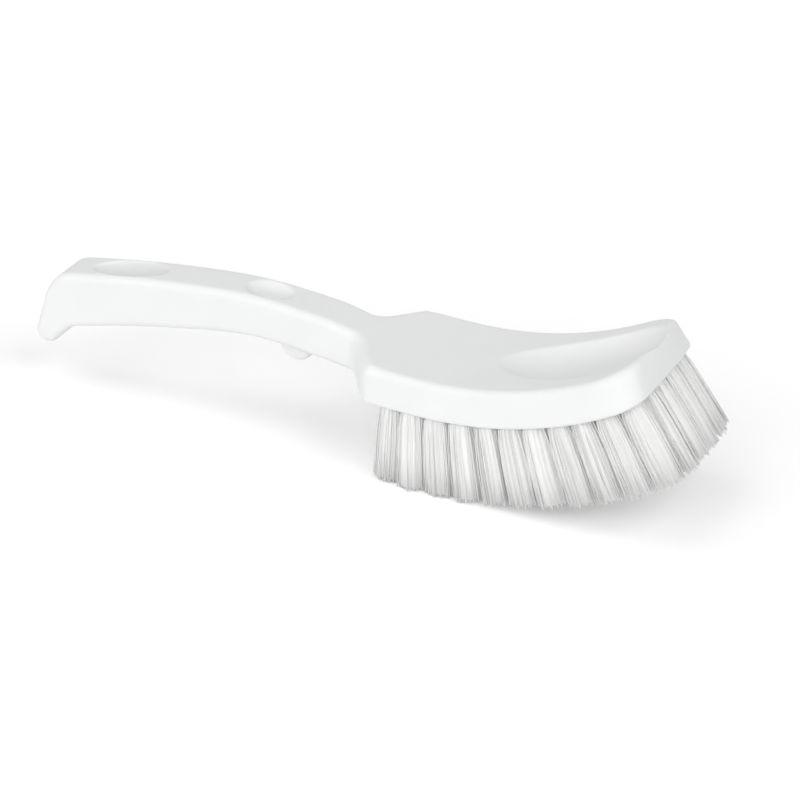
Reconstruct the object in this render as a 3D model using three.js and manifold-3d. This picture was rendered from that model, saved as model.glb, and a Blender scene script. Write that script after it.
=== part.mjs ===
// Short-handled scrub brush: a one-piece moulded block with handle, tufts of filaments and their anchors.
// Millimetres, +Z up. X runs from the hook at the handle end to the toe of the head, Y runs across.
import * as THREE from 'three';
import { mergeVertices } from 'three/addons/utils/BufferGeometryUtils.js';
import Module from 'manifold-3d';

const wasm = await Module();
wasm.setup();

// Handle: one width all along, with rounded long edges
const HANDLE_WIDTH = 21.4;
const HANDLE_EDGE_RADIUS = 3;
const HANDLE_TOP = [[13.5, 46.2], [45, 50.6], [86, 53.3], [118, 50.7], [133, 47.6], [146, 44.9]];
const HANDLE_UNDERSIDE = [[146, 30.4], [131, 31.7], [118, 33.7], [88, 36.2], [46, 30.3], [18.5, 24.3]];
const HANDLE_ROOT = { x: 165, top: 42.4, underside: 31 };
const HOOK_TIP = [3.6, 19.9];
const HOOK_TIP_RADIUS = 5;
const HOOK_TIP_END = -30;
const HOOK_INNER_CONTROL = [13.9, 23.5];
const HOOK_OUTER_START = [2.6, 35.5];
const HOOK_OUTER_CONTROL = [6.4, 45.2];

// Hanging hole near the handle end, thumb dish and finger stop
const HANG_HOLE = { x: 34.9, length: 31.4, width: 15.4 };
const THUMB_DISH = { x: 94.5, z: 52.9, length: 22, width: 17, depth: 2.1, height: 10, slope: -2 };
const FINGER_STOP = { x: 107.9, z: 34.9, radius: 7, width: 9, edge: 1.5 };

// Head: sole and top are arcs, and from above it opens a little from the shoulders to a full toe
const ARC_X = 173;
const SOLE = {
  z: 180.5,
  radius: 151,
  halfWidth: 31,
  toeHalfWidth: 33.4,
  toeX: 255.2,
  corner: 10.5,
  edge: 1.2,
};
const TOP = {
  z: 183.5,
  radius: 140.1,
  halfWidth: 29.8,
  toeHalfWidth: 30.6,
  toeX: 249.5,
  corner: 14,
  edge: 2.6,
};
const NECK_X = 130.5;
const NECK_HALF_WIDTH = 10;
const NECK_TOP_DROP = 2;
const NECK_SOLE_DROP = 3.2;
const SHOULDER_X = 150;
const BACK_SLOPE_X = 166;
const TOE_EDGE = 1;
const SCOOP = { middle: 66, rear: 50, front: 18, halfWidth: 20.6, depth: 5, overrun: 1.15 };

// Tufts: two rings and a centre row in blind holes, on tips trimmed to an arc and cut flat to stand on
const FIELD_START = -7.2;
const FIELD_END = 30.8;
const FIELD_HALF_WIDTH = 26.3;
const FIELD_CORNER = 9;
const FIELD_CORNER_LEAST = 4;
const RING_STEP = 12;
const TUFTS_OUTER = 30;
const TUFTS_MIDDLE = 18;
const TUFTS_CENTRE = 6;
const LEAN_AT_ARC_FOOT = 7.2;
const LEAN_PER_DEGREE = 0.889;
const SIDE_LEAN = 4;
const TIP_ARC_X = 175;
const TIP_RADIUS_HEEL = 400;
const TIP_RADIUS_TOE = 195;
const FLAT_CUT = 0.5;
const STRANDS_PER_TUFT = 6;
const STRAND_ROOT_RADIUS = 0.9;
const STRAND_TIP_RADIUS = 1.6;
const TUFT_ROOT_RADIUS = 1.9;
const TUFT_TIP_RADIUS = 3.3;
const SLICE_THICKNESS = 3;
const SLICE_MARGIN = 2.9;
const HOLE_RADIUS = 3;
const HOLE_DEPTH = 6.8;
const PLUG_RADIUS = 2.5;
const PLUG_TOP = 4.2;
const ANCHOR = { length: 3.6, height: 1.7, thickness: 0.5 };
const GAP = 0.3;

// Cutters run past what they cut: above and below it, and round the arc of the sole
const CUT_HEIGHT = 90;
const CUT_OVERRUN = 3;
const CUT_OVERRUN_ANGLE = 7;

// Facets of the round stretches
const EDGE_STEPS = 3;
const HEAD_STATIONS = 10;
const SEGMENTS = { handle: 6, stop: 14, hole: 32, field: 6, sole: 10, dishAround: 40, dishDown: 24 };
const SIDES = { strand: 3, plug: 5, hole: 8 };

const WHITE_PLASTIC = { color: 0xf4f4f3, roughness: 0.42, metalness: 0 };
const WHITE_FILAMENT = { color: 0xe9e8e9, roughness: 0.5, metalness: 0 };
const STEEL = { color: 0xb9bcc0, roughness: 0.35, metalness: 1 };

const radians = THREE.MathUtils.degToRad;
const smooth = THREE.MathUtils.smoothstep;
const mix = THREE.MathUtils.lerp;
const DOWN = new THREE.Vector3(0, 0, -1);

// A closed three.js geometry as a solid for cutting and joining, and back again
function solid(geometry) {
  const bare = geometry.clone();
  bare.deleteAttribute('normal');
  bare.deleteAttribute('uv');
  const merged = mergeVertices(bare, 1e-4);
  const vertProperties = new Float32Array(merged.attributes.position.array);
  const triVerts = new Uint32Array(merged.index.array);
  return new wasm.Manifold(new wasm.Mesh({ numProp: 3, vertProperties, triVerts }));
}

function geometryOf(body) {
  const { vertProperties, triVerts } = body.getMesh();
  const geometry = new THREE.BufferGeometry();
  geometry.setAttribute('position', new THREE.BufferAttribute(vertProperties, 3));
  geometry.setIndex(new THREE.BufferAttribute(triVerts, 1));
  return geometry;
}

// Rings of points, each joined to the next, with a cap at both ends
function loft(rings) {
  const sides = rings[0].length;
  const positions = rings.flat().flatMap((p) => [p.x, p.y, p.z]);
  const index = [];
  for (let i = 0; i < rings.length - 1; i++) {
    for (let j = 0; j < sides; j++) {
      const a = i * sides + j;
      const b = i * sides + ((j + 1) % sides);
      index.push(a, b, b + sides, a, b + sides, a + sides);
    }
  }
  const last = (rings.length - 1) * sides;
  for (let j = 1; j < sides - 1; j++) {
    index.push(0, j + 1, j);
    index.push(last, last + j, last + j + 1);
  }
  const geometry = new THREE.BufferGeometry();
  geometry.setAttribute('position', new THREE.Float32BufferAttribute(positions, 3));
  geometry.setIndex(index);
  return geometry;
}

// An outline drawn in X and Z, pulled out evenly to both sides of the middle plane
function acrossBrush(shape, width, edgeRadius, curveSegments) {
  const geometry = new THREE.ExtrudeGeometry(shape, {
    depth: width - 2 * edgeRadius,
    bevelEnabled: edgeRadius > 0,
    bevelThickness: edgeRadius,
    bevelSize: edgeRadius,
    bevelOffset: -edgeRadius,
    bevelSegments: EDGE_STEPS,
    curveSegments,
  });
  geometry.translate(0, 0, edgeRadius - width / 2);
  return geometry.rotateX(Math.PI / 2);
}

function arcHeight({ z, radius }, x) {
  return z - Math.sqrt(radius * radius - (x - ARC_X) ** 2);
}

function handleBody() {
  const points = (list) => list.map(([x, z]) => new THREE.Vector2(x, z));
  const outline = new THREE.Shape();
  outline.moveTo(...HOOK_OUTER_START);
  outline.quadraticCurveTo(...HOOK_OUTER_CONTROL, ...HANDLE_TOP[0]);
  outline.splineThru(points(HANDLE_TOP.slice(1)));
  outline.lineTo(HANDLE_ROOT.x, HANDLE_ROOT.top);
  outline.lineTo(HANDLE_ROOT.x, HANDLE_ROOT.underside);
  outline.lineTo(...HANDLE_UNDERSIDE[0]);
  outline.splineThru(points(HANDLE_UNDERSIDE.slice(1)));
  const tipEnd = radians(HOOK_TIP_END);
  const lastX = HOOK_TIP[0] + HOOK_TIP_RADIUS * Math.cos(tipEnd);
  const lastZ = HOOK_TIP[1] + HOOK_TIP_RADIUS * Math.sin(tipEnd);
  outline.quadraticCurveTo(...HOOK_INNER_CONTROL, lastX, lastZ);
  outline.absarc(...HOOK_TIP, HOOK_TIP_RADIUS, tipEnd, -Math.PI, true);
  outline.closePath();
  return solid(acrossBrush(outline, HANDLE_WIDTH, HANDLE_EDGE_RADIUS, SEGMENTS.handle));
}

// The plan outline of the sole or the top: 0 to 1 flares from the neck to the shoulder, 1 to 2 is the
// side, and 2 to 3 turns the corner into the toe
function outlineAt(level, station) {
  const cornerX = level.toeX - level.corner;
  if (station <= 1) {
    const halfWidth = mix(NECK_HALF_WIDTH, level.halfWidth, smooth(station, 0, 1));
    return { x: mix(NECK_X, SHOULDER_X, station), halfWidth };
  }
  if (station <= 2) {
    const halfWidth = mix(level.halfWidth, level.toeHalfWidth, station - 1);
    return { x: mix(SHOULDER_X, cornerX, station - 1), halfWidth };
  }
  const turn = Math.PI / 2 * (station - 2);
  return {
    x: cornerX + level.corner * Math.sin(turn),
    halfWidth: level.toeHalfWidth - level.corner * (1 - Math.cos(turn)),
  };
}

// One cross-section of the head: a rectangle with rounded corners that leans back toward the toe
function headSection(station, inset) {
  const sole = outlineAt(SOLE, station);
  const top = outlineAt(TOP, station);
  const soleX = sole.x + inset;
  const topX = top.x + inset;
  const topDrop = NECK_TOP_DROP * (1 - smooth(topX, NECK_X, BACK_SLOPE_X));
  const soleDrop = NECK_SOLE_DROP * (1 - smooth(soleX, NECK_X, SHOULDER_X));
  const topZ = arcHeight(TOP, topX) - topDrop - inset;
  const soleZ = arcHeight(SOLE, soleX) - soleDrop + inset;
  return [[1, 1], [-1, 1], [-1, 0], [1, 0]].flatMap(([side, onTop], corner) => {
    const radius = onTop ? TOP.edge : SOLE.edge;
    const halfWidth = (onTop ? top : sole).halfWidth - inset;
    const middleZ = onTop ? topZ - radius : soleZ + radius;
    return Array.from({ length: EDGE_STEPS + 1 }, (_, i) => {
      const angle = (corner + i / EDGE_STEPS) * Math.PI / 2;
      const y = side * (halfWidth - radius) + radius * Math.cos(angle);
      const z = middleZ + radius * Math.sin(angle);
      return new THREE.Vector3(THREE.MathUtils.mapLinear(z, soleZ, topZ, soleX, topX), y, z);
    });
  });
}

function headBody() {
  const rings = [];
  for (let i = 0; i <= 3 * HEAD_STATIONS; i++) {
    rings.push(headSection(i / HEAD_STATIONS, 0));
  }
  rings.push(headSection(3, TOE_EDGE));
  return solid(loft(rings));
}

// The thumb dish: the foot of an egg of the given height, tilted with the handle's top
function thumbDishCutter({ x, z, length, width, depth, height, slope }) {
  const reach = Math.sqrt(1 - (1 - depth / height) ** 2);
  const egg = new THREE.SphereGeometry(1, SEGMENTS.dishAround, SEGMENTS.dishDown).rotateX(Math.PI / 2);
  egg.scale(length / 2 / reach, width / 2 / reach, height);
  egg.translate(0, 0, height - depth);
  egg.rotateY(radians(-slope));
  return solid(egg.translate(x, 0, z));
}

// The scoop: a long bowl under the head's top arc, deepest near the toe, with room to cut above it
function scoopCutter({ middle, rear, front, halfWidth, depth, overrun }) {
  const bowl = new THREE.SphereGeometry(1, SEGMENTS.dishAround, SEGMENTS.dishDown).rotateX(Math.PI / 2);
  const places = bowl.attributes.position;
  for (let i = 0; i < places.count; i++) {
    const u = overrun * places.getX(i);
    const v = overrun * places.getY(i);
    const rise = places.getZ(i);
    const lid = depth * (1 - overrun ** 2) - CUT_OVERRUN * rise;
    const bowlDepth = depth * (1 - u * u - v * v);
    const reach = TOP.radius + (rise > 0 ? lid : bowlDepth);
    const angle = (middle + u * (u < 0 ? rear : front)) / TOP.radius;
    places.setXYZ(i, ARC_X + reach * Math.sin(angle), v * halfWidth, TOP.z - reach * Math.cos(angle));
  }
  return solid(bowl);
}

function hangHoleCutter() {
  const oval = new THREE.Shape();
  oval.absellipse(HANG_HOLE.x, 0, HANG_HOLE.length / 2, HANG_HOLE.width / 2, 0, Math.PI * 2);
  const settings = { depth: CUT_HEIGHT, bevelEnabled: false, curveSegments: SEGMENTS.hole };
  return solid(new THREE.ExtrudeGeometry(oval, settings));
}

function fingerStopBody() {
  const disc = new THREE.Shape();
  disc.absarc(FINGER_STOP.x, FINGER_STOP.z, FINGER_STOP.radius, 0, Math.PI * 2);
  return solid(acrossBrush(disc, FINGER_STOP.width, FINGER_STOP.edge, SEGMENTS.stop));
}

// The tuft field is laid out on the unrolled sole: s along the arc, y across
function fieldPath(inset) {
  const start = SOLE.radius * radians(FIELD_START) + inset;
  const end = SOLE.radius * radians(FIELD_END) - inset;
  const half = FIELD_HALF_WIDTH - inset;
  const corner = Math.max(FIELD_CORNER - inset, FIELD_CORNER_LEAST);
  const path = new THREE.Path();
  path.moveTo((start + end) / 2, -half);
  path.absarc(end - corner, corner - half, corner, -Math.PI / 2, 0);
  path.absarc(end - corner, half - corner, corner, 0, Math.PI / 2);
  path.absarc(start + corner, half - corner, corner, Math.PI / 2, Math.PI);
  path.absarc(start + corner, corner - half, corner, Math.PI, Math.PI * 1.5);
  path.closePath();
  return path;
}

// The same outline seen from above, for cutting slices of the sole
function fieldOutline(inset) {
  const points = fieldPath(inset).getPoints(SEGMENTS.field);
  return points.map((p) => new THREE.Vector2(ARC_X + SOLE.radius * Math.sin(p.x / SOLE.radius), p.y));
}

// A layer of the sole, from a depth inside the block to a depth below it
function soleLayer(inside, below, outerInset, innerInset) {
  const band = new THREE.Shape();
  const from = -Math.PI / 2 + radians(FIELD_START - CUT_OVERRUN_ANGLE);
  const to = -Math.PI / 2 + radians(FIELD_END + CUT_OVERRUN_ANGLE);
  band.absarc(ARC_X, SOLE.z, SOLE.radius + below, from, to, false);
  band.absarc(ARC_X, SOLE.z, SOLE.radius - inside, to, from, true);
  band.closePath();
  const plan = new THREE.Shape(fieldOutline(outerInset));
  if (innerInset !== undefined) {
    plan.holes.push(new THREE.Path(fieldOutline(innerInset)));
  }
  const column = new THREE.ExtrudeGeometry(plan, { depth: CUT_HEIGHT, bevelEnabled: false });
  return solid(acrossBrush(band, SOLE.halfWidth * 3, 0, SEGMENTS.sole)).intersect(solid(column));
}

// Where a tuft leaves the sole and which way it points
function tuftAt(s, y) {
  const angle = s / SOLE.radius;
  const lean = radians(LEAN_AT_ARC_FOOT) + LEAN_PER_DEGREE * angle;
  const sideLean = radians(SIDE_LEAN) * y / FIELD_HALF_WIDTH;
  const root = new THREE.Vector3(
    ARC_X + SOLE.radius * Math.sin(angle),
    y,
    SOLE.z - SOLE.radius * Math.cos(angle),
  );
  const direction = new THREE.Vector3(Math.sin(lean), Math.tan(sideLean), -Math.cos(lean)).normalize();
  return { root, direction };
}

function ringOfTufts(inset, count) {
  return fieldPath(inset).getSpacedPoints(count).slice(0, count).map((p) => tuftAt(p.x, p.y));
}

function rowOfTufts(inset, count) {
  const start = SOLE.radius * radians(FIELD_START) + inset;
  const end = SOLE.radius * radians(FIELD_END) - inset;
  return Array.from({ length: count }, (_, i) => tuftAt(start + (end - start) * i / (count - 1), 0));
}

// A straight rod down from one point to another, of few sides, that may widen toward its end. Its sides are
// set so that rods at the two sides of the brush mirror each other
function rod(from, to, fromRadius, toRadius, sides) {
  const axis = to.clone().sub(from);
  const geometry = new THREE.CylinderGeometry(toRadius, fromRadius, axis.length(), sides);
  geometry.rotateY(Math.PI / 2).rotateX(-Math.PI / 2);
  geometry.applyQuaternion(new THREE.Quaternion().setFromUnitVectors(DOWN, axis.normalize()));
  const middle = from.clone().add(to).multiplyScalar(0.5);
  return solid(geometry.translate(middle.x, middle.y, middle.z));
}

function along({ root, direction }, distance) {
  return root.clone().addScaledVector(direction, distance);
}

// How far a tuft runs before it meets the trimmed line of the tips: a flat arc at the heel and a round one
// at the toe
function tuftLength({ root, direction }) {
  const reachTo = (radius) => {
    const x = root.x - TIP_ARC_X;
    const z = root.z - (radius - FLAT_CUT);
    const square = direction.x ** 2 + direction.z ** 2;
    const half = x * direction.x + z * direction.z;
    const rest = x * x + z * z - radius * radius;
    return (-half + Math.sqrt(half * half - square * rest)) / square;
  };
  const toToe = reachTo(TIP_RADIUS_TOE);
  return root.x + toToe * direction.x > TIP_ARC_X ? toToe : reachTo(TIP_RADIUS_HEEL);
}

function strandsOf(tuft) {
  const tip = along(tuft, tuftLength(tuft));
  const start = along(tuft, -SLICE_THICKNESS / 2);
  const strands = [];
  for (let i = 0; i < STRANDS_PER_TUFT; i++) {
    const angle = i / (STRANDS_PER_TUFT - 1) * Math.PI * 2;
    const reach = i === STRANDS_PER_TUFT - 1 ? 0 : 1;
    const offset = new THREE.Vector3(Math.cos(angle), Math.sin(angle), 0).multiplyScalar(reach);
    const from = start.clone().addScaledVector(offset, TUFT_ROOT_RADIUS);
    const to = tip.clone().addScaledVector(offset, TUFT_TIP_RADIUS);
    strands.push(rod(from, to, STRAND_ROOT_RADIUS, STRAND_TIP_RADIUS, SIDES.strand));
  }
  return strands;
}

// Tufts of one ring or row: their slice of the sole, the plugs held in the holes, and the strands
function bristleBody(slice, tufts) {
  let body = slice;
  tufts.forEach((tuft) => {
    const plugTop = along(tuft, -PLUG_TOP);
    const plugFoot = along(tuft, -SLICE_THICKNESS / 2);
    body = body.add(rod(plugTop, plugFoot, PLUG_RADIUS, PLUG_RADIUS, SIDES.plug));
    strandsOf(tuft).forEach((strand) => {
      body = body.add(strand);
    });
  });
  const floor = new THREE.BoxGeometry(SOLE.toeX * 2, SOLE.halfWidth * 4, CUT_OVERRUN);
  return body.subtract(solid(floor.translate(SOLE.toeX / 2, 0, -CUT_OVERRUN / 2)));
}

// The metal plate that sits in a tuft's hole above the fold of the tuft
function anchorGeometry({ root, direction }) {
  const geometry = new THREE.BoxGeometry(ANCHOR.thickness, ANCHOR.length, ANCHOR.height);
  geometry.applyQuaternion(new THREE.Quaternion().setFromUnitVectors(DOWN, direction));
  const middle = along({ root, direction }, -(PLUG_TOP + GAP + ANCHOR.height / 2));
  return geometry.translate(middle.x, middle.y, middle.z);
}

// The moulded block: handle and head in one, with its dishes, hanging hole, sole pocket and tuft holes
function blockBody(tufts) {
  let body = handleBody().add(headBody()).add(fingerStopBody());
  body = body.subtract(scoopCutter(SCOOP));
  body = body.subtract(thumbDishCutter(THUMB_DISH));
  body = body.subtract(hangHoleCutter());
  body = body.subtract(soleLayer(SLICE_THICKNESS + GAP, CUT_OVERRUN, -SLICE_MARGIN - GAP));
  tufts.forEach((tuft) => {
    body = body.subtract(rod(along(tuft, -HOLE_DEPTH), tuft.root, HOLE_RADIUS, HOLE_RADIUS, SIDES.hole));
  });
  return body;
}

function mesh(name, geometry, look) {
  const part = new THREE.Mesh(geometry, new THREE.MeshStandardMaterial(look));
  part.name = name;
  return part;
}

const rings = {
  outer: ringOfTufts(0, TUFTS_OUTER),
  middle: ringOfTufts(RING_STEP, TUFTS_MIDDLE),
  centre: rowOfTufts(RING_STEP * 2, TUFTS_CENTRE),
};
const slices = {
  outer: soleLayer(SLICE_THICKNESS, 0, -SLICE_MARGIN, (RING_STEP - GAP) / 2),
  middle: soleLayer(SLICE_THICKNESS, 0, (RING_STEP + GAP) / 2, (3 * RING_STEP - GAP) / 2),
  centre: soleLayer(SLICE_THICKNESS, 0, (3 * RING_STEP + GAP) / 2),
};

const brush = new THREE.Group();
brush.add(mesh('brush_block', geometryOf(blockBody(Object.values(rings).flat())), WHITE_PLASTIC));
Object.entries(rings).forEach(([ring, tufts]) => {
  brush.add(mesh(`bristles_${ring}`, geometryOf(bristleBody(slices[ring], tufts)), WHITE_FILAMENT));
  tufts.forEach((tuft, i) => {
    const number = String(i + 1).padStart(2, '0');
    brush.add(mesh(`anchor_${ring}_${number}`, anchorGeometry(tuft), STEEL));
  });
});

// The origin is the middle of the part's own box, on the surface that it stands on
const box = new THREE.Box3().setFromObject(brush);
brush.position.x = -(box.min.x + box.max.x) / 2;

export default brush;
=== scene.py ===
"""The looks of a short-handled scrub brush: a moulded white block and its tufts of filament."""
import math

import bpy
import numpy as np
from mathutils import Matrix, Vector


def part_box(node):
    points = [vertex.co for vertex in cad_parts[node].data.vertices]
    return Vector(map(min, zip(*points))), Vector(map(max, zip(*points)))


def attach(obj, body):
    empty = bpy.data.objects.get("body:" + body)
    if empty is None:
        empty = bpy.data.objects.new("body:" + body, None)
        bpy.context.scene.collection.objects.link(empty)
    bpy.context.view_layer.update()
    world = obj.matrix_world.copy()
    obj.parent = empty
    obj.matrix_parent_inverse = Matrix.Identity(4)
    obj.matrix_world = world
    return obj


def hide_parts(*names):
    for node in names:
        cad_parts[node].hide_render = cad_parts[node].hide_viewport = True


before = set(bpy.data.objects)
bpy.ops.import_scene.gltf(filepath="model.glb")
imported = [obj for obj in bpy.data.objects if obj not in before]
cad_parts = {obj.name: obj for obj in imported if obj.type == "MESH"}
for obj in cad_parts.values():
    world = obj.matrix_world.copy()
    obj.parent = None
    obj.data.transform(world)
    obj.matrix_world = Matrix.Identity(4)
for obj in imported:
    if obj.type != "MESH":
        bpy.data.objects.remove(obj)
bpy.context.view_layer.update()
METRES = 0.001

# The block from the side, in millimetres and degrees: X from the hook to the toe, Z up from where it stands.
# Handle and head share one line along the top and one along the underside, which end in the head's two arcs
TOP_LINE = [(13.5, 46.2), (45, 50.6), (86, 53.3), (118, 50.7), (133, 47.6), (147, 44.9), (160, 43.8)]
UNDER_LINE = [(160, 29.8), (146, 30.4), (131, 31.7), (118, 33.7), (88, 36.2), (46, 30.3)]
ARC_X = 173.0
TOP_ARC = {"z": 183.5, "radius": 140.1}
SOLE_ARC = {"z": 180.5, "radius": 151.0}
ARC_END_X = 262.0
HOOK_TIP = (3.6, 19.9)
HOOK_TIP_RADIUS = 5.0
HOOK_TIP_FROM = -30
HOOK_TIP_TO = -180
HOOK_CORNER = (13.9, 23.5)
HOOK_CORNER_REACH = 2.2
HOOK_OUTER_START = (2.6, 35.5)
HOOK_OUTER_CONTROL = (6.4, 45.2)

# The block from above: one width along the handle, a flared neck, sides that open a little, and a full toe
HANDLE_HALF_WIDTH = 10.7
NECK_X = 132.0
SHOULDER_X = 148.5
SOLE = {"half_width": 31.0, "toe_half_width": 33.4, "toe_x": 256.1, "corner": 10.5, "crown": 0.9}
TOP = {"half_width": 29.8, "toe_half_width": 30.6, "toe_x": 251.0, "corner": 14.0, "crown": 1.5}

# Rounding of the long edges along the handle, at the flare of the neck, and along the head, and the shares
# of the thickness between which the underside's rounding turns into the top's
HANDLE_EDGE = 3.0
FLARE_EDGE = 4.5
TOP_EDGE = 2.6
SOLE_EDGE = 1.2
FLARE_FROM = 128.0
FLARE_TO = 140.0
HEAD_EDGE_FROM = 143.0
HEAD_EDGE_TO = 156.0
EDGE_BLEND = (0.3, 0.7)

# Hollows and the finger stop, and the rounding of their rims
HANG_HOLE = {"x": 34.9, "half_length": 15.7, "half_width": 7.7}
HOLE_WAIST = {"z": 41.0, "reach": 8.5, "draft": 0.26}
THUMB_DISH = {"x": 94.5, "half_length": 9.8, "half_width": 7.5, "depth": 2.7}
DISH_STEEPNESS = 1.6
SCOOP = {"middle": 66.0, "rear": 50.0, "front": 18.0, "half_width": 20.6, "depth": 5.0}
FINGER_STOP = {"x": 107.9, "z": 34.9, "radius": 7.0, "half_width": 4.5, "edge": 1.5}
STOP_FILLET = 0.8
HOLE_RIM = 0.6
DISH_RIM = 0.35
TUFT_HOLE_RIM = 0.4

# Tufts: two rings and a centre row, leaning more toward the toe, with their tips trimmed to two arcs.
# The ends of their field, round the sole's arc, and their leans are in degrees
FIELD_START = -7.2
FIELD_END = 30.8
FIELD_HALF_WIDTH = 26.3
FIELD_CORNER = 9.0
FIELD_CORNER_LEAST = 4.0
RING_STEP = 12.0
TUFT_COUNTS = {"outer": 30, "middle": 18, "centre": 6}
LEAN_AT_ARC_FOOT = 7.2
LEAN_PER_DEGREE = 0.889
SIDE_LEAN = 4.0
TIP_ARC_X = 175.0
TIP_RADIUS_HEEL = 400.0
TIP_RADIUS_TOE = 195.0
FLAT_CUT = 0.5
TUFT_HOLE_RADIUS = 3.0
TUFT_HOLE_DEPTH = 6.8
FOLD_DEPTH = 4.2

# Filaments of a tuft: how many, how thick, how far they open out, how uneven they are, how much they crowd
# to the outside of the bundle that stands for the ones within
FILAMENTS_PER_TUFT = 130
FILAMENT_RADIUS = 0.24
FILAMENT_SIDES = 4
LINE_STOPS = 6
TUFT_ROOT_RADIUS = 2.8
TUFT_TIP_RADIUS = {"outer": 6.0, "middle": 6.6, "centre": 6.6}
TIP_SPREAD_LIMIT = 0.4
TUFT_FLARE = 0.19
STOP_SPREAD = 2.2
CROWDING = 0.2
GOLDEN_ANGLE = math.pi * (3 - math.sqrt(5))
TIP_SCATTER = 0.45
TUFT_SCATTER = 0.3
TRIM_SCATTER = 0.75
BOW_SCATTER = 0.25
STRAY_SHARE = 0.12
STRAY_REACH = 1.5
BUNDLE_SIDES = 24
BUNDLE_SHARE = 0.94
BUNDLE_SCATTER = 0.12
BUNDLE_SHORTER = 1.6
SEED = 7

# How finely the curves of the outlines are divided
LINE_STEPS = 16
SIDE_STEPS = 6
BEND_STEPS = 12
ARC_POINTS = 40
SIDE_ARC_STRIDE = 3
TURN_POINTS = 24
CROWN_POINTS = 12
CORNER_POINTS = 25

# The block's mesh: step of its grid, room round it, rounds of evening out its points, the nudge that
# measures a slope, the least square of a slope, the corners of a grid cell, the step and room of the tables
# that outlines are looked up in, and the least number that is divided by
GRID_STEP = 0.7
GRID_MARGIN = 2.0
EVEN_ROUNDS = 4
NUDGE = GRID_STEP / 20
LEAST_SLOPE_SQUARE = 0.1
CELL_CORNERS = 8
TABLE_STEP = 0.3
TABLE_MARGIN = 12.0
TINY = 1e-12

# Looks: colours and roughness between two ends, and noise with its waves to the metre and its detail
RAMP_ENDS = (0.3, 0.7)
PLASTIC_COLOURS = ((0.857, 0.866, 0.864), (0.875, 0.882, 0.879))
PLASTIC_MOTTLE = {"scale": 45, "detail": 3}
PLASTIC_ROUGHNESS = (0.5, 0.6)
PLASTIC_SATIN = {"scale": 160, "detail": 4}
PLASTIC_SHINE = 0.3
PLASTIC_GRAIN = {"scale": 1800, "detail": 2}
PLASTIC_GRAIN_DEPTH = 0.00001
PLASTIC_DEPTH = {"Weight": 0.15, "Radius": (1.0, 0.95, 0.9), "Scale": 0.002}
FILAMENT_COLOURS = ((0.875, 0.874, 0.865), (0.945, 0.947, 0.944))
FILAMENT_ROUGHNESS = (0.3, 0.45)
FILAMENT_SATIN = {"scale": 300, "detail": 2}
ROLLING_STRETCH = (1, 8, 1)
STEEL_COLOURS = ((0.55, 0.56, 0.57), (0.72, 0.73, 0.74))
STEEL_LINES = {"scale": 600, "detail": 3, "stretch": ROLLING_STRETCH}
STEEL_ROUGHNESS = (0.25, 0.4)
STEEL_SATIN = {"scale": 900, "detail": 2, "stretch": ROLLING_STRETCH}

# The photograph's view of the brush, in metres and degrees, and its lens in millimetres
VIEW_AZIMUTH = 21.9
VIEW_ELEVATION = 25.95
VIEW_ROLL = 2.56
VIEW_DISTANCE = 1.3869
VIEW_AIM = (-0.00625, 0.0491, -0.0071)
VIEW_LENS = 157.5

# Studio: the floor's half size in metres, its colour, the light it adds where it is looked at, the light of
# the surround, and the softboxes: where they shine from and how wide they look, in degrees
FLOOR_HALF = 6.0
FLOOR_COLOUR = 0.97
FLOOR_LIFT = 0.212
SKY_LIGHT = 0.38
SOFTBOXES = {
    "front_softbox": {"azimuth": -6, "elevation": 13, "strength": 1.72, "width": 76},
    "right_softbox": {"azimuth": 75, "elevation": 43, "strength": 0.87, "width": 48},
    "left_softbox": {"azimuth": -80, "elevation": 60, "strength": 0.42, "width": 45},
}

# The hook's outermost point is where the CAD block's box begins, which ties these sizes to the frame
HOOK_END_X = HOOK_TIP[0] - HOOK_TIP_RADIUS
ORIGIN_X = HOOK_END_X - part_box("brush_block")[0].x / METRES


def smooth_step(value, low, high):
    """0 below low, 1 above high, and an even S between them."""
    share = np.clip((value - low) / (high - low), 0, 1)
    return share * share * (3 - 2 * share)


def spline_through(points, steps):
    """Points along an even curve through the given ones, so many steps between each two."""
    ends = [points[0], *points, points[-1]]
    path = [np.array(points[0], float)]
    for i in range(1, len(points)):
        a, b, c, d = (np.array(p, float) for p in ends[i - 1:i + 3])
        for t in np.linspace(0, 1, steps + 1)[1:]:
            slope_b = (c - a) / 2
            slope_c = (d - b) / 2
            place = (2 * t**3 - 3 * t**2 + 1) * b + (t**3 - 2 * t**2 + t) * slope_b
            path.append(place + (3 * t**2 - 2 * t**3) * c + (t**3 - t**2) * slope_c)
    return path


def bend_between(start, control, end):
    """Points of a quadratic curve, without its start."""
    a, b, c = (np.array(p, float) for p in (start, control, end))
    shares = np.linspace(0, 1, BEND_STEPS + 1)[1:]
    return [(1 - t)**2 * a + 2 * t * (1 - t) * b + t**2 * c for t in shares]


def arc_height(arc, x):
    """Height of the sole or the top at a place along its arc."""
    return arc["z"] - math.sqrt(arc["radius"]**2 - (x - ARC_X)**2)


def arc_points(arc):
    """Points of the sole or the top, from the foot of its arc to past the toe."""
    return [(x, arc_height(arc, x)) for x in np.linspace(ARC_X, ARC_END_X, ARC_POINTS)]


def step_from(start, toward, reach):
    """The point that far from a start on the way to another point."""
    way = np.array(toward, float) - start
    return np.array(start) + way / np.linalg.norm(way) * reach


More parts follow.
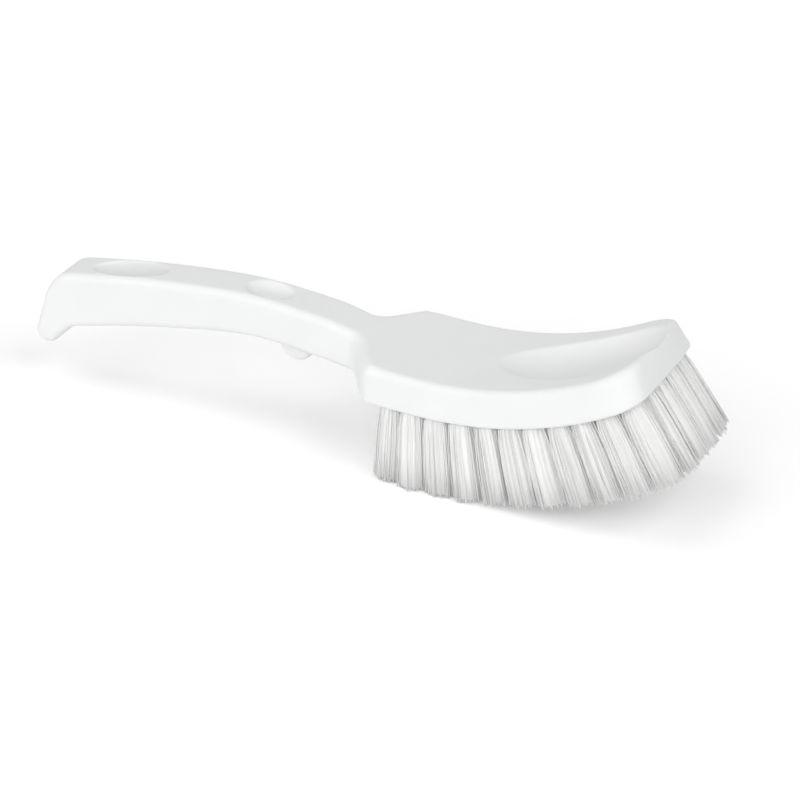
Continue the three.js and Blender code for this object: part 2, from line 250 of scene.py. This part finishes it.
def hook_points():
    """From the underside round the hook's inner corner and tip to its back."""
    turn = np.radians(np.linspace(HOOK_TIP_FROM, HOOK_TIP_TO, TURN_POINTS))
    tip = [np.array(HOOK_TIP) + HOOK_TIP_RADIUS * np.array([math.cos(a), math.sin(a)]) for a in turn]
    before = step_from(HOOK_CORNER, UNDER_LINE[-1], HOOK_CORNER_REACH)
    after = step_from(HOOK_CORNER, tip[0], HOOK_CORNER_REACH)
    back = bend_between(HOOK_OUTER_START, HOOK_OUTER_CONTROL, TOP_LINE[0])
    return [before, *bend_between(before, HOOK_CORNER, after), *tip, HOOK_OUTER_START, *back[:-1]]


def side_outline():
    """The whole block seen from the side: hook, top, toe and back along the underside."""
    top = spline_through([*TOP_LINE, *arc_points(TOP_ARC)[::SIDE_ARC_STRIDE]], SIDE_STEPS)
    hook = hook_points()
    under = spline_through([*arc_points(SOLE_ARC)[::-SIDE_ARC_STRIDE], *UNDER_LINE, hook[0]], SIDE_STEPS)
    return np.array([*top, *under, *hook[1:]])


def plan_outline(level):
    """The block at its sole or its top, seen from above."""
    flare = np.linspace(0, 1, TURN_POINTS)
    turn = np.linspace(0, math.pi / 2, TURN_POINTS)
    bow = np.linspace(1, 0, CROWN_POINTS)[1:]
    flare_y = HANDLE_HALF_WIDTH + (level["half_width"] - HANDLE_HALF_WIDTH) * smooth_step(flare, 0, 1)
    straight = level["toe_half_width"] - level["corner"]
    corner_x = level["toe_x"] - level["crown"] - level["corner"] * (1 - np.sin(turn))
    corner_y = straight + level["corner"] * np.cos(turn)
    toe_x = level["toe_x"] - level["crown"] * bow**2
    start = [HOOK_END_X - TABLE_MARGIN]
    x = np.concatenate([start, NECK_X + (SHOULDER_X - NECK_X) * flare, corner_x, toe_x])
    y = np.concatenate([[HANDLE_HALF_WIDTH], flare_y, corner_y, straight * bow])
    half = np.stack([x, y], 1)
    return np.concatenate([half, half[-2::-1] * [1, -1]])


def outline_distance(outline, u, v):
    """Distance in a plane to a closed outline, negative inside it."""
    nearest = np.full(np.broadcast(u, v).shape, np.inf)
    inside = np.zeros(nearest.shape, bool)
    for (au, av), (bu, bv) in zip(outline, np.roll(outline, -1, 0)):
        du = bu - au
        dv = bv - av
        share = np.clip(((u - au) * du + (v - av) * dv) / max(du * du + dv * dv, TINY), 0, 1)
        nearest = np.minimum(nearest, (u - au - share * du)**2 + (v - av - share * dv)**2)
        if dv != 0:
            inside ^= ((av > v) != (bv > v)) & (u < au + (v - av) / dv * du)
    return np.where(inside, -1, 1) * np.sqrt(nearest)


def distance_table(outline):
    """An outline's distances on a fine grid with room round it."""
    low = outline.min(0) - TABLE_MARGIN
    high = outline.max(0) + TABLE_MARGIN
    u, v = (np.arange(a, b, TABLE_STEP) for a, b in zip(low, high))
    return low, outline_distance(outline, u[:, None], v[None, :])


def look_up(table, u, v):
    """A table's value between its grid points."""
    low, values = table
    place = [(w - first) / TABLE_STEP for w, first in zip((u, v), low)]
    cell = [np.clip(p.astype(int), 0, n - 2) for p, n in zip(place, values.shape)]
    i, j = cell
    a, b = (p - c for p, c in zip(place, cell))
    near = values[i, j] * (1 - b) + values[i, j + 1] * b
    far = values[i + 1, j] * (1 - b) + values[i + 1, j + 1] * b
    return near * (1 - a) + far * a


SIDE_OUTLINE = side_outline()
SIDE_TABLE = distance_table(SIDE_OUTLINE)
SOLE_TABLE = distance_table(plan_outline(SOLE))
TOP_TABLE = distance_table(plan_outline(TOP))
TOP_HEIGHTS = np.array([*spline_through(TOP_LINE, LINE_STEPS), *arc_points(TOP_ARC)]).T
UNDER_HEIGHTS = np.array([*spline_through(UNDER_LINE[::-1], LINE_STEPS), *arc_points(SOLE_ARC)]).T


def round_max(a, b, radius):
    """What two bodies share, with the edge between them rounded."""
    corner = np.hypot(np.maximum(a + radius, 0), np.maximum(b + radius, 0))
    return np.minimum(np.maximum(a, b), -radius) + corner


def round_min(a, b, radius):
    """Two bodies joined, with a fillet between them."""
    return -round_max(-a, -b, radius)


def edge_radius(x, level):
    """The rounding of the long edges, at the underside for level 0 and at the top for level 1."""
    flared = HANDLE_EDGE + (FLARE_EDGE - HANDLE_EDGE) * smooth_step(x, FLARE_FROM, FLARE_TO)
    at_top = flared + (TOP_EDGE - FLARE_EDGE) * smooth_step(x, HEAD_EDGE_FROM, HEAD_EDGE_TO)
    at_sole = HANDLE_EDGE + (SOLE_EDGE - HANDLE_EDGE) * smooth_step(x, FLARE_FROM, HEAD_EDGE_TO)
    return at_sole + (at_top - at_sole) * smooth_step(level, *EDGE_BLEND)


def body_distance(x, y, z):
    """Handle and head in one: the side outline and the plan outlines, with their edges rounded."""
    top_z = np.interp(x, *TOP_HEIGHTS)
    under_z = np.interp(x, *UNDER_HEIGHTS)
    level = np.clip((z - under_z) / (top_z - under_z), 0, 1)
    at_sole = look_up(SOLE_TABLE, x, y)
    at_top = look_up(TOP_TABLE, x, y)
    plan = at_sole + (at_top - at_sole) * level
    return round_max(look_up(SIDE_TABLE, x, z), plan, edge_radius(x, level))


def finger_stop_distance(x, y, z):
    """A disc that stands on edge, part sunk in the handle's underside."""
    disc = np.hypot(x - FINGER_STOP["x"], z - FINGER_STOP["z"]) - FINGER_STOP["radius"]
    return round_max(disc, np.abs(y) - FINGER_STOP["half_width"], FINGER_STOP["edge"])


def hang_hole_distance(x, y, z):
    """The hanging hole: an oval that narrows from both faces to a waist between them."""
    u = (x - HANG_HOLE["x"]) / HANG_HOLE["half_length"]
    v = y / HANG_HOLE["half_width"]
    size = np.hypot(u, v)
    steep = np.hypot(u / HANG_HOLE["half_length"], v / HANG_HOLE["half_width"])
    narrower = HOLE_WAIST["draft"] * np.maximum(HOLE_WAIST["reach"] - np.abs(z - HOLE_WAIST["z"]), 0)
    return size * (size - 1) / np.maximum(steep, TINY) + narrower


def bowl(u, v):
    """Depth of a bowl: 1 in its middle, 0 at its rim, and below 0 outside."""
    return 1 - (u * u + v * v)**DISH_STEEPNESS


def thumb_dish_distance(x, y, z):
    """A shallow oval bowl under the handle's top line."""
    u = (x - THUMB_DISH["x"]) / THUMB_DISH["half_length"]
    v = y / THUMB_DISH["half_width"]
    return np.interp(x, *TOP_HEIGHTS) - THUMB_DISH["depth"] * bowl(u, v) - z


def scoop_distance(x, y, z):
    """A long bowl under the head's top arc, deepest near the toe and open to it."""
    reach = np.hypot(x - ARC_X, TOP_ARC["z"] - z)
    along = TOP_ARC["radius"] * np.arctan2(x - ARC_X, TOP_ARC["z"] - z) - SCOOP["middle"]
    u = along / np.where(along < 0, SCOOP["rear"], SCOOP["front"])
    v = y / SCOOP["half_width"]
    return reach - TOP_ARC["radius"] - SCOOP["depth"] * bowl(u, v)


def tuft_hole_distance(tuft, x, y, z):
    """A blind hole along a tuft's direction, open to the sole."""
    root, direction = tuft
    offset = [x - root[0], y - root[1], z - root[2]]
    along = sum(o * d for o, d in zip(offset, direction))
    aside = np.sqrt(np.maximum(sum(o * o for o in offset) - along * along, 0))
    return round_max(aside - TUFT_HOLE_RADIUS, -TUFT_HOLE_DEPTH - along, TUFT_HOLE_RIM)


def less_tuft_holes(body, x, y, z):
    """A body with the tuft holes taken out of the layer above its sole."""
    x, y, z = np.broadcast_arrays(x, y, z)
    depth = SOLE_ARC["radius"] - np.hypot(x - ARC_X, SOLE_ARC["z"] - z)
    layer = (np.abs(depth) < TUFT_HOLE_DEPTH + 2 * TUFT_HOLE_RADIUS) & (x > SHOULDER_X - TUFT_HOLE_DEPTH)
    x, y, z = x[layer], y[layer], z[layer]
    rest = body[layer]
    for tuft in sum(TUFTS.values(), []):
        rest = round_max(rest, -tuft_hole_distance(tuft, x, y, z), TUFT_HOLE_RIM)
    body[layer] = rest
    return body


def block_distance(x, y, z):
    """The whole moulding: body and finger stop, less hanging hole, dish, scoop and tuft holes."""
    body = round_min(body_distance(x, y, z), finger_stop_distance(x, y, z), STOP_FILLET)
    body = round_max(body, -hang_hole_distance(x, y, z), HOLE_RIM)
    body = round_max(body, -thumb_dish_distance(x, y, z), DISH_RIM)
    body = round_max(body, -scoop_distance(x, y, z), DISH_RIM)
    return less_tuft_holes(body, x, y, z)


def field_points(inset, count):
    """Evenly spaced places round the tuft field, on the unrolled sole: along the arc and across."""
    start = SOLE_ARC["radius"] * math.radians(FIELD_START) + inset
    end = SOLE_ARC["radius"] * math.radians(FIELD_END) - inset
    half = FIELD_HALF_WIDTH - inset
    corner = max(FIELD_CORNER - inset, FIELD_CORNER_LEAST)
    path = [((start + end) / 2, -half)]
    middles = [(end - corner, corner - half), (end - corner, half - corner)]
    middles += [(start + corner, half - corner), (start + corner, corner - half)]
    for quarter, (s, y) in enumerate(middles):
        for angle in np.linspace(0, math.pi / 2, CORNER_POINTS) + math.pi / 2 * (quarter - 1):
            path.append((s + corner * math.cos(angle), y + corner * math.sin(angle)))
    path = np.array(path + path[:1])
    travelled = np.concatenate([[0], np.cumsum(np.hypot(*np.diff(path, axis=0).T))])
    stops = np.linspace(0, travelled[-1], count + 1)[:-1]
    return np.stack([np.interp(stops, travelled, path[:, i]) for i in range(2)], 1)


def row_points(inset, count):
    """A straight row of places along the middle of the tuft field."""
    start = SOLE_ARC["radius"] * math.radians(FIELD_START) + inset
    end = SOLE_ARC["radius"] * math.radians(FIELD_END) - inset
    return np.stack([np.linspace(start, end, count), np.zeros(count)], 1)


def tuft_at(s, y):
    """Where a tuft leaves the sole, and which way it points."""
    angle = s / SOLE_ARC["radius"]
    lean = math.radians(LEAN_AT_ARC_FOOT) + LEAN_PER_DEGREE * angle
    side_lean = math.radians(SIDE_LEAN) * y / FIELD_HALF_WIDTH
    x = ARC_X + SOLE_ARC["radius"] * math.sin(angle)
    root = np.array([x, y, arc_height(SOLE_ARC, x)])
    direction = np.array([math.sin(lean), math.tan(side_lean), -math.cos(lean)])
    return root, direction / np.linalg.norm(direction)


TUFTS = {
    "outer": [tuft_at(*p) for p in field_points(0, TUFT_COUNTS["outer"])],
    "middle": [tuft_at(*p) for p in field_points(RING_STEP, TUFT_COUNTS["middle"])],
    "centre": [tuft_at(*p) for p in row_points(2 * RING_STEP, TUFT_COUNTS["centre"])],
}


def slide_onto(points, distance):
    """Points moved straight onto the surface of a body."""
    value = distance(*points.T)
    slope = np.stack([distance(*(points + step).T) - value for step in np.eye(3) * NUDGE], 1) / NUDGE
    move = value[:, None] * slope / np.maximum((slope**2).sum(1, keepdims=True), LEAST_SLOPE_SQUARE)
    return points - np.clip(move, -GRID_STEP, GRID_STEP)


def crossed_cells(inside):
    """Which cells of a grid have corners both inside and outside a body."""
    cells = tuple(n - 1 for n in inside.shape)
    filled = np.zeros(cells, np.int8)
    for i, j, k in np.ndindex(2, 2, 2):
        filled += inside[i:cells[0] + i, j:cells[1] + j, k:cells[2] + k]
    return (filled > 0) & (filled < CELL_CORNERS)


def quads_round_edges(inside, number, axis):
    """A quad for each grid edge along an axis that the surface cuts, from the points of its four cells."""
    steps = np.eye(3, dtype=int)
    ahead = steps[axis]
    side_a = steps[(axis + 1) % 3]
    side_b = steps[(axis + 2) % 3]
    lower = inside[tuple(slice(0, n - a) for n, a in zip(inside.shape, ahead))]
    upper = inside[tuple(slice(a, n) for n, a in zip(inside.shape, ahead))]
    edge = np.argwhere(lower != upper)
    around = [edge - side_a - side_b, edge - side_b, edge, edge - side_a]
    ring = np.stack([number[tuple(c.T)] for c in around], 1)
    leaving = lower[tuple(edge.T)]
    return np.where(leaving[:, None], ring, ring[:, ::-1])


def surface_of(distance, low, high):
    """Points and quads on a body's surface: one point in each grid cell that the surface passes through."""
    axes = [np.arange(a - GRID_MARGIN, b + GRID_MARGIN, GRID_STEP) for a, b in zip(low, high)]
    inside = distance(*np.meshgrid(*axes, indexing="ij", sparse=True)) < 0
    crossed = crossed_cells(inside)
    number = np.full(crossed.shape, -1)
    number[crossed] = np.arange(crossed.sum())
    places = np.argwhere(crossed).T
    points = np.stack([along[place] + GRID_STEP / 2 for along, place in zip(axes, places)], 1)
    return points, np.concatenate([quads_round_edges(inside, number, axis) for axis in range(3)])


def evened(points, quads):
    """Each point moved to the mean of its neighbours."""
    total = np.zeros_like(points)
    count = np.zeros(len(points))
    for i in range(4):
        a, b = quads[:, i], quads[:, (i + 1) % 4]
        for here, there in ((a, b), (b, a)):
            count += np.bincount(here, minlength=len(points))
            for axis in range(3):
                total[:, axis] += np.bincount(here, points[there, axis], len(points))
    return total / count[:, None]


def new_piece(name, points, quads, replaced, material):
    """A mesh piece from points in millimetres, riding on the brush in place of a CAD node."""
    mesh = bpy.data.meshes.new(name)
    mesh.from_pydata((points - [ORIGIN_X, 0, 0]) * METRES, [], quads.tolist())
    mesh.polygons.foreach_set("use_smooth", np.ones(len(mesh.polygons), bool))
    mesh.materials.append(material)
    piece = bpy.data.objects.new(name, mesh)
    bpy.context.scene.collection.objects.link(piece)
    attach(piece, "root")
    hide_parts(replaced)
    return piece


def make_block(material):
    """The moulding, meshed from its distances and evened out along its own surface."""
    low = (HOOK_END_X, -SOLE["toe_half_width"], SIDE_OUTLINE[:, 1].min())
    high = (SOLE["toe_x"], SOLE["toe_half_width"], arc_height(TOP_ARC, TOP["toe_x"]))
    points, quads = surface_of(block_distance, low, high)
    points = slide_onto(points, block_distance)
    for _ in range(EVEN_ROUNDS):
        points = slide_onto(evened(points, quads), block_distance)
    new_piece("moulded_block", points, quads, "brush_block", material)


def trimmed_length(start, direction):
    """How far lines in one direction run before they meet the trimmed line of the tips."""
    def reach_to(radius):
        x = start[:, 0] - TIP_ARC_X
        z = start[:, 2] - (radius - FLAT_CUT)
        square = direction[0]**2 + direction[2]**2
        half = x * direction[0] + z * direction[2]
        rest = x * x + z * z - radius * radius
        return (np.sqrt(half * half - square * rest) - half) / square
    to_toe = reach_to(TIP_RADIUS_TOE)
    past_foot = start[:, 0] + to_toe * direction[0] > TIP_ARC_X
    return np.where(past_foot, to_toe, reach_to(TIP_RADIUS_HEEL))


def across(direction):
    """Two directions square to a tuft's own."""
    side = np.cross(direction, [0, 1, 0])
    side /= np.linalg.norm(side)
    return np.stack([side, np.cross(direction, side)])


def tuft_lines(tuft, at_root, at_tip, bow, shorter):
    """Lines from the fold in a tuft's hole to its trimmed tips, by their places across root and tips."""
    root, direction = tuft
    sides = across(direction)
    length = trimmed_length(root + at_tip @ sides, direction) - shorter
    path = [root - FOLD_DEPTH * direction + at_root @ sides]
    for share in np.linspace(0, 1, LINE_STOPS - 1)**STOP_SPREAD:
        aside = at_root + (at_tip - at_root) * share**TUFT_FLARE + bow * math.sin(math.pi * share)
        path.append(root + np.outer(length * share, direction) + aside @ sides)
    path = np.stack(path, 1)
    path[..., 2] = np.maximum(path[..., 2], 0)
    return path


def turned(angle):
    """Points on a circle of radius 1 at the given angles."""
    return np.stack([np.cos(angle), np.sin(angle)], 1)


def filament_lines(tuft, tip_radius, lean, draw):
    """Centre lines of a tuft's filaments, crowded to its outside."""
    number = np.arange(FILAMENTS_PER_TUFT)
    filled = (number[:, None] + 0.5) / len(number)
    disc = turned(number * GOLDEN_ANGLE) * filled**CROWDING
    at_tip = disc * tip_radius + lean + draw.normal(0, TIP_SCATTER, disc.shape)
    stray = draw.random(len(number)) < STRAY_SHARE
    at_tip[stray] += draw.normal(0, STRAY_REACH, (stray.sum(), 2))
    limit = tip_radius + TIP_SPREAD_LIMIT
    at_tip *= np.minimum(1, limit / np.linalg.norm(at_tip, axis=1, keepdims=True))
    bow = draw.normal(0, BOW_SCATTER, disc.shape)
    shorter = np.abs(draw.normal(0, TRIM_SCATTER, len(number)))
    return tuft_lines(tuft, disc * TUFT_ROOT_RADIUS, at_tip, bow, shorter)


def bundle_lines(tuft, tip_radius, lean, draw):
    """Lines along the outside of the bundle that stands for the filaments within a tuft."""
    disc = turned(np.arange(BUNDLE_SIDES) * 2 * math.pi / BUNDLE_SIDES) * BUNDLE_SHARE
    uneven = draw.normal(0, BUNDLE_SCATTER, disc.shape)
    at_tip = disc * tip_radius + lean + uneven
    return tuft_lines(tuft, disc * TUFT_ROOT_RADIUS, at_tip, uneven, BUNDLE_SHORTER)


def tube_quads(count, stops, corners):
    """Quads of tubes whose points run round each stop in turn, closed at both ends."""
    here = np.arange(corners)
    after = (here + 1) % corners
    start = (np.arange(count) * stops * corners)[:, None, None]
    base = start + (np.arange(stops - 1) * corners)[:, None]
    walls = np.stack([base + here, base + after, base + after + corners, base + here + corners], -1)
    strip = np.array([(i, i + 1, corners - 2 - i, corners - 1 - i) for i in range(corners // 2 - 1)])
    ends = [start + strip[:, ::-1], start + strip + (stops - 1) * corners]
    return np.concatenate([walls.reshape(-1, 4), *(end.reshape(-1, 4) for end in ends)])


def tuft_mesh(tuft, tip_radius, draw):
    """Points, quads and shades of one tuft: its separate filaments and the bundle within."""
    lean = draw.normal(0, TUFT_SCATTER, 2)
    ring = turned(np.arange(FILAMENT_SIDES) * 2 * math.pi / FILAMENT_SIDES) @ across(tuft[1])
    lines = filament_lines(tuft, tip_radius, lean, draw)
    tubes = (lines[:, :, None] + FILAMENT_RADIUS * ring).reshape(-1, 3)
    bundle = bundle_lines(tuft, tip_radius, lean, draw).transpose(1, 0, 2).reshape(-1, 3)
    quads = [
        tube_quads(FILAMENTS_PER_TUFT, LINE_STOPS, FILAMENT_SIDES),
        tube_quads(1, LINE_STOPS, BUNDLE_SIDES) + len(tubes),
    ]
    shades = [
        np.repeat(draw.random(FILAMENTS_PER_TUFT), LINE_STOPS * FILAMENT_SIDES),
        np.tile(draw.random(BUNDLE_SIDES), LINE_STOPS),
    ]
    return np.concatenate([tubes, bundle]), np.concatenate(quads), np.concatenate(shades)


def make_bristles(ring, draw, material):
    """All tufts of one ring or row as one piece, cut off level with the floor."""
    points, quads, shades = [], [], []
    total = 0
    for tuft in TUFTS[ring]:
        tuft_points, tuft_quads, tuft_shades = tuft_mesh(tuft, TUFT_TIP_RADIUS[ring], draw)
        points.append(tuft_points)
        quads.append(tuft_quads + total)
        shades.append(tuft_shades)
        total += len(tuft_points)
    name = f"filaments_{ring}"
    points = np.concatenate(points)
    points[:, 2] = np.maximum(points[:, 2], 0)
    piece = new_piece(name, points, np.concatenate(quads), f"bristles_{ring}", material)
    shade = piece.data.attributes.new("shade", "FLOAT", "POINT")
    shade.data.foreach_set("value", np.concatenate(shades).astype(np.float32))


def new_material(name):
    """A material with its node tree and its shader."""
    material = bpy.data.materials.new(name)
    material.use_nodes = True
    return material, material.node_tree, material.node_tree.nodes["Principled BSDF"]


def noise(tree, scale, detail, stretch=(1, 1, 1)):
    """Noise in the part's own space, so many waves to the metre."""
    place = tree.nodes.new("ShaderNodeTexCoord")
    mapping = tree.nodes.new("ShaderNodeMapping")
    mapping.inputs["Scale"].default_value = stretch
    texture = tree.nodes.new("ShaderNodeTexNoise")
    texture.inputs["Scale"].default_value = scale
    texture.inputs["Detail"].default_value = detail
    tree.links.new(place.outputs["Object"], mapping.inputs["Vector"])
    tree.links.new(mapping.outputs["Vector"], texture.inputs["Vector"])
    return texture.outputs["Fac"]


def ramp(tree, source, low, high):
    """A number from 0 to 1 turned into a colour or a grey between two."""
    colours = tree.nodes.new("ShaderNodeValToRGB")
    for element, value in zip(colours.color_ramp.elements, (low, high)):
        element.color = (*value, 1) if isinstance(value, tuple) else (value, value, value, 1)
    for element, position in zip(colours.color_ramp.elements, RAMP_ENDS):
        element.position = position
    tree.links.new(source, colours.inputs["Fac"])
    return colours.outputs["Color"]


def bump(tree, shader, source, depth):
    """Fine relief of a material, by its depth in metres."""
    node = tree.nodes.new("ShaderNodeBump")
    node.inputs["Strength"].default_value = 1
    node.inputs["Distance"].default_value = depth
    tree.links.new(source, node.inputs["Height"])
    tree.links.new(node.outputs["Normal"], shader.inputs["Normal"])


def white_plastic():
    """Moulded polypropylene: faint mottling, a satin that varies a little, and a very fine grain."""
    material, tree, shader = new_material("white_plastic")
    colour = ramp(tree, noise(tree, **PLASTIC_MOTTLE), *PLASTIC_COLOURS)
    tree.links.new(colour, shader.inputs["Base Color"])
    roughness = ramp(tree, noise(tree, **PLASTIC_SATIN), *PLASTIC_ROUGHNESS)
    tree.links.new(roughness, shader.inputs["Roughness"])
    shader.inputs["Specular IOR Level"].default_value = PLASTIC_SHINE
    for setting, value in PLASTIC_DEPTH.items():
        shader.inputs[f"Subsurface {setting}"].default_value = value
    bump(tree, shader, noise(tree, **PLASTIC_GRAIN), PLASTIC_GRAIN_DEPTH)
    return material


def white_filament():
    """Pale polyester filament, each a little lighter or darker than the next."""
    material, tree, shader = new_material("white_filament")
    shade = tree.nodes.new("ShaderNodeAttribute")
    shade.attribute_name = "shade"
    colour = ramp(tree, shade.outputs["Fac"], *FILAMENT_COLOURS)
    tree.links.new(colour, shader.inputs["Base Color"])
    roughness = ramp(tree, noise(tree, **FILAMENT_SATIN), *FILAMENT_ROUGHNESS)
    tree.links.new(roughness, shader.inputs["Roughness"])
    return material


def anchor_steel():
    """Stainless strip with fine rolling lines."""
    material, tree, shader = new_material("anchor_steel")
    shader.inputs["Metallic"].default_value = 1
    colour = ramp(tree, noise(tree, **STEEL_LINES), *STEEL_COLOURS)
    tree.links.new(colour, shader.inputs["Base Color"])
    roughness = ramp(tree, noise(tree, **STEEL_SATIN), *STEEL_ROUGHNESS)
    tree.links.new(roughness, shader.inputs["Roughness"])
    return material


def seen_directly(tree):
    """1 where a camera, mirror or glass ray looks, 0 for light that falls on the object."""
    path = tree.nodes.new("ShaderNodeLightPath")
    total = path.outputs["Is Camera Ray"]
    for name in ("Is Glossy Ray", "Is Transmission Ray"):
        add = tree.nodes.new("ShaderNodeMath")
        add.operation = "ADD"
        add.use_clamp = True
        tree.links.new(total, add.inputs[0])
        tree.links.new(path.outputs[name], add.inputs[1])
        total = add.outputs[0]
    return total


def make_floor():
    """A pale floor that keeps the brush's shadow and otherwise looks white."""
    mesh = bpy.data.meshes.new("floor")
    corners = [(-1, -1), (1, -1), (1, 1), (-1, 1)]
    mesh.from_pydata([(x * FLOOR_HALF, y * FLOOR_HALF, 0) for x, y in corners], [], [(0, 1, 2, 3)])
    floor = bpy.data.objects.new("floor", mesh)
    bpy.context.scene.collection.objects.link(floor)
    material, tree, shader = new_material("floor")
    shader.inputs["Base Color"].default_value = (FLOOR_COLOUR, FLOOR_COLOUR, FLOOR_COLOUR, 1)
    shader.inputs["Roughness"].default_value = 1
    shader.inputs["Specular IOR Level"].default_value = 0
    shader.inputs["Emission Color"].default_value = (1, 1, 1, 1)
    lift = tree.nodes.new("ShaderNodeMath")
    lift.operation = "MULTIPLY"
    lift.inputs[1].default_value = FLOOR_LIFT
    tree.links.new(seen_directly(tree), lift.inputs[0])
    tree.links.new(lift.outputs[0], shader.inputs["Emission Strength"])
    mesh.materials.append(material)


def make_sky():
    """An even white surround, dimmer as light than it looks."""
    world = bpy.data.worlds.new("studio")
    bpy.context.scene.world = world
    world.use_nodes = True
    tree = world.node_tree
    background = tree.nodes["Background"]
    background.inputs["Color"].default_value = (1, 1, 1, 1)
    strength = tree.nodes.new("ShaderNodeMapRange")
    strength.inputs["To Min"].default_value = SKY_LIGHT
    strength.inputs["To Max"].default_value = 1
    tree.links.new(seen_directly(tree), strength.inputs["Value"])
    tree.links.new(strength.outputs["Result"], background.inputs["Strength"])


def direction_from(azimuth, elevation):
    """Toward the viewer: azimuth 0 is in front of the brush's long side, 90 is past its toe."""
    a = math.radians(azimuth)
    e = math.radians(elevation)
    return Vector((math.sin(a) * math.cos(e), -math.cos(a) * math.cos(e), math.sin(e)))


def make_lamp(name, azimuth, elevation, strength, width):
    """A very wide, far softbox."""
    light = bpy.data.lights.new(name, "SUN")
    light.energy = strength
    light.angle = math.radians(width)
    lamp = bpy.data.objects.new(name, light)
    toward = direction_from(azimuth, elevation)
    lamp.location = toward
    lamp.rotation_euler = toward.to_track_quat("Z", "Y").to_euler()
    bpy.context.scene.collection.objects.link(lamp)


def make_camera():
    """The photograph's view: beside and above the brush, turned a little about its own axis."""
    data = bpy.data.cameras.new("camera")
    data.lens = VIEW_LENS
    camera = bpy.data.objects.new("camera", data)
    back = direction_from(VIEW_AZIMUTH, VIEW_ELEVATION)
    turn = back.to_track_quat("Z", "Y").to_matrix() @ Matrix.Rotation(math.radians(VIEW_ROLL), 3, "Z")
    camera.matrix_world = Matrix.LocRotScale(Vector(VIEW_AIM) + back * VIEW_DISTANCE, turn, None)
    bpy.context.scene.collection.objects.link(camera)
    bpy.context.scene.camera = camera


def main():
    bpy.context.scene.view_settings.view_transform = "Standard"
    make_camera()
    make_floor()
    make_sky()
    for name, softbox in SOFTBOXES.items():
        make_lamp(name, **softbox)
    draw = np.random.default_rng(SEED)
    make_block(white_plastic())
    filament = white_filament()
    for ring in TUFTS:
        make_bristles(ring, draw, filament)
    steel = anchor_steel()
    for name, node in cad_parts.items():
        if name.startswith("anchor_"):
            node.data.materials.clear()
            node.data.materials.append(steel)


main()
